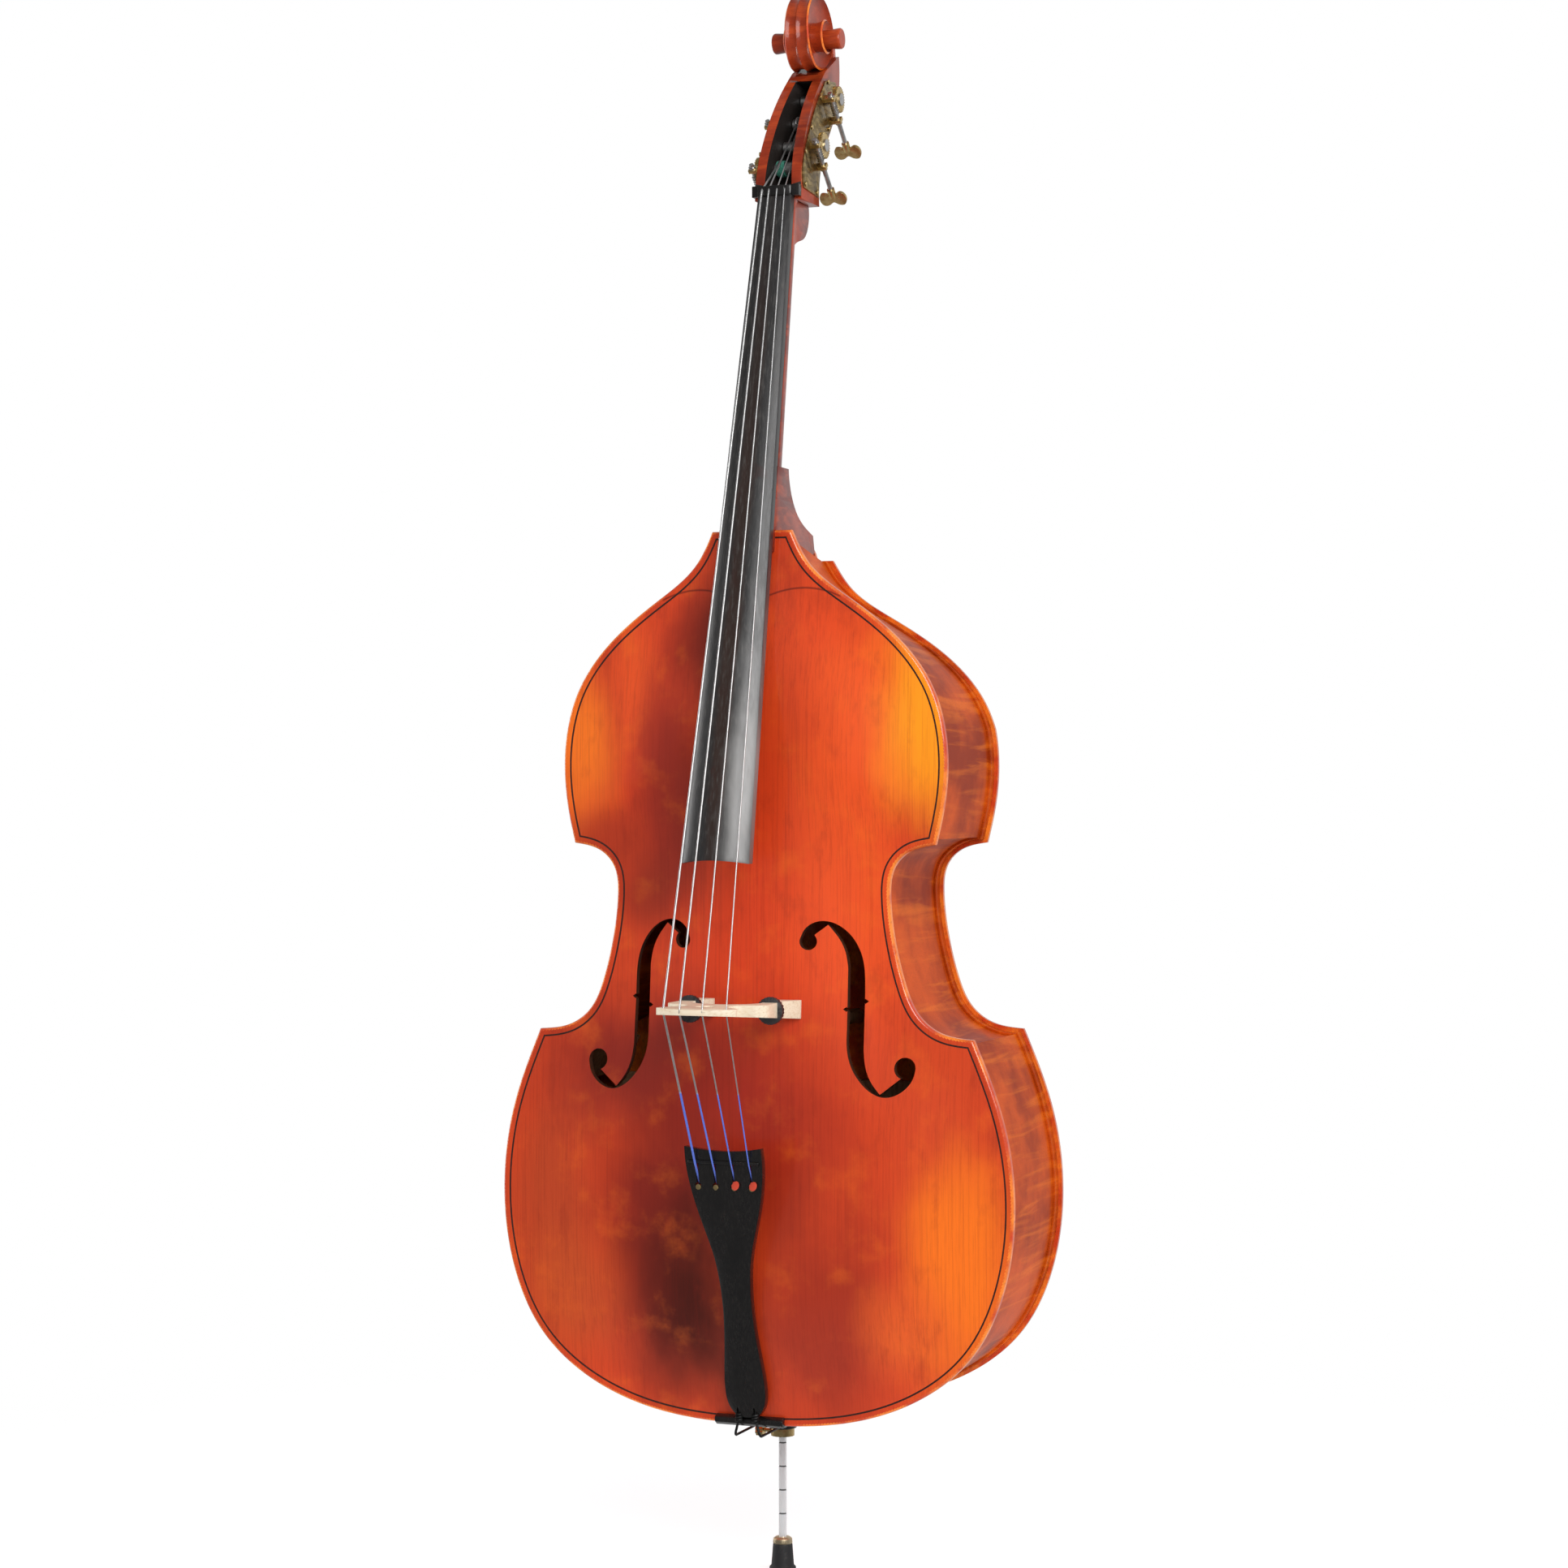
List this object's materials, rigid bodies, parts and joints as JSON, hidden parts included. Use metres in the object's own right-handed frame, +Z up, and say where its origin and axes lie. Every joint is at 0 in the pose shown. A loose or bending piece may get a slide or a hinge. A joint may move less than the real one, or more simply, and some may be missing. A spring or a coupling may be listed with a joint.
{
  "type": "double bass",
  "caption": "Upright double bass with sloping shoulders, corners, f-holes, height-adjustable bridge, geared tuning machines and a sliding endpin with a rubber foot.",
  "frame": {"origin": "bottom of the rubber foot, on the endpin's axis, with the endpin drawn out as pictured", "axes": "+Z up along the endpin and the body, -Y out of the front, towards the strings; +X to the viewer's right when looking at the front"},
  "size_m": [0.679, 0.4597, 2.037],
  "materials": {
    "spruce_front": "glossy red-orange varnish on straight-grained spruce",
    "maple_varnished": "glossy red-brown varnish on flamed maple",
    "purfling_wood": "dark inlay under varnish",
    "inner_spruce": "bare, unvarnished",
    "ebony": "oiled and polished",
    "ebony_bar": "polished round bar",
    "bridge_maple": "unvarnished, lightly polished",
    "adjuster_metal": "knurled, grey anodised",
    "brass": "engraved, slightly tarnished",
    "blued_steel": "turned",
    "chromed_steel": "polished, ringed",
    "ferrule_metal": "turned, dull",
    "black_rubber": "moulded",
    "roller_wood": "turned hardwood",
    "string_steel": "flat-wound steel",
    "string_silk": "green silk over the string's end",
    "cable_steel": "stranded wire"
  },
  "bodies": {
    "bass": {"back_braces": "inner_spruce", "back_plate": "maple_varnished", "bass_bar": "inner_spruce", "bridge_feet": "bridge_maple", "corner_blocks": "inner_spruce", "end_block": "inner_spruce", "endpin_collar": "brass", "endpin_plug": "ebony", "fingerboard": "ebony", "linings": "maple_varnished", "neck": "maple_varnished", "neck_block": "inner_spruce", "nut": "ebony", "purfling": "purfling_wood", "rib_lower_left": "maple_varnished", "rib_lower_right": "maple_varnished", "rib_upper_left": "maple_varnished", "rib_upper_right": "maple_varnished", "rib_waist_left": "maple_varnished", "rib_waist_right": "maple_varnished", "saddle": "ebony", "sound_post": "inner_spruce", "string_a": "string_steel", "string_d": "string_steel", "string_e": "string_steel", "string_g": "string_steel", "tail_cable": "cable_steel", "tailpiece": "ebony", "tailpiece_fret": "ebony_bar", "top_plate": "spruce_front", "tuner_plates": "brass", "tuner_screws": "blued_steel", "worm_brackets": "brass"},
    "endpin": {"endpin_rod": "chromed_steel", "endpin_ferrule": "ferrule_metal", "rubber_foot": "black_rubber"},
    "clamp_screw": {"endpin_thumbscrew": "brass"},
    "bridge": {"bridge_top": "bridge_maple"},
    "adjuster_left": {"bridge_adjuster_left": "adjuster_metal"},
    "adjuster_right": {"bridge_adjuster_right": "adjuster_metal"},
    "tuner_e": {"roller_e": "roller_wood", "gear_e": "brass", "winding_e": "string_silk"},
    "machine_e": {"worm_e": "blued_steel", "key_e": "brass"},
    "tuner_a": {"roller_a": "roller_wood", "gear_a": "brass", "winding_a": "string_silk"},
    "machine_a": {"worm_a": "blued_steel", "key_a": "brass"},
    "tuner_d": {"roller_d": "roller_wood", "gear_d": "brass", "winding_d": "string_silk"},
    "machine_d": {"worm_d": "blued_steel", "key_d": "brass"},
    "tuner_g": {"roller_g": "roller_wood", "gear_g": "brass", "winding_g": "string_silk"},
    "machine_g": {"worm_g": "blued_steel", "key_g": "brass"}
  },
  "joints": [
    {"name": "endpin_slide", "type": "slide", "parent": "bass", "child": "endpin", "axis": [0, 0, -1], "range_m": [-0.11, 0.14]},
    {"name": "clamp_screw_turn", "type": "hinge", "parent": "bass", "child": "clamp_screw", "pos_m": [-0.02, 0, 0.187], "axis": [-1, 0, 0], "range_deg": [0, 720]},
    {"name": "bridge_lift", "type": "slide", "parent": "bass", "child": "bridge", "axis": [0, -1, 0], "range_m": [-0.0035, 0.008], "deforming": ["string_e", "string_a", "string_d", "string_g"]},
    {"name": "adjuster_left_turn", "type": "hinge", "parent": "bridge", "child": "adjuster_left", "pos_m": [-0.053, -0.181, 0.7345], "axis": [0, -1, 0], "range_deg": [-1100, 2400]},
    {"name": "adjuster_right_turn", "type": "hinge", "parent": "bridge", "child": "adjuster_right", "pos_m": [0.053, -0.181, 0.7345], "axis": [0, -1, 0], "range_deg": [-1100, 2400]},
    {"name": "tuner_e_turn", "type": "hinge", "parent": "bass", "child": "tuner_e", "pos_m": [0, 0.02, 1.798], "axis": [1, 0, 0], "continuous": true},
    {"name": "tuner_a_turn", "type": "hinge", "parent": "bass", "child": "tuner_a", "pos_m": [0, 0.077, 1.865], "axis": [1, 0, 0], "continuous": true},
    {"name": "tuner_d_turn", "type": "hinge", "parent": "bass", "child": "tuner_d", "pos_m": [0, 0.103, 1.9], "axis": [1, 0, 0], "continuous": true},
    {"name": "tuner_g_turn", "type": "hinge", "parent": "bass", "child": "tuner_g", "pos_m": [0, 0.047, 1.83], "axis": [1, 0, 0], "continuous": true},
    {"name": "machine_e_turn", "type": "hinge", "parent": "bass", "child": "machine_e", "pos_m": [-0.038, 0.00615, 1.78262], "axis": [0, 0.7431, -0.6691], "continuous": true},
    {"name": "machine_a_turn", "type": "hinge", "parent": "bass", "child": "machine_a", "pos_m": [-0.038, 0.06315, 1.84962], "axis": [0, 0.7431, -0.6691], "continuous": true},
    {"name": "machine_d_turn", "type": "hinge", "parent": "bass", "child": "machine_d", "pos_m": [0.038, 0.08915, 1.88462], "axis": [0, 0.7431, -0.6691], "continuous": true},
    {"name": "machine_g_turn", "type": "hinge", "parent": "bass", "child": "machine_g", "pos_m": [0.038, 0.03315, 1.81462], "axis": [0, 0.7431, -0.6691], "continuous": true}
  ],
  "couplings": [
    {"joint": "adjuster_left_turn", "follows": "bridge_lift", "rad_per_m": 5026.5},
    {"joint": "adjuster_right_turn", "follows": "bridge_lift", "rad_per_m": 5026.5},
    {"joint": "machine_e_turn", "follows": "tuner_e_turn", "ratio": -28},
    {"joint": "machine_a_turn", "follows": "tuner_a_turn", "ratio": -28},
    {"joint": "machine_d_turn", "follows": "tuner_d_turn", "ratio": -28},
    {"joint": "machine_g_turn", "follows": "tuner_g_turn", "ratio": -28}
  ]
}
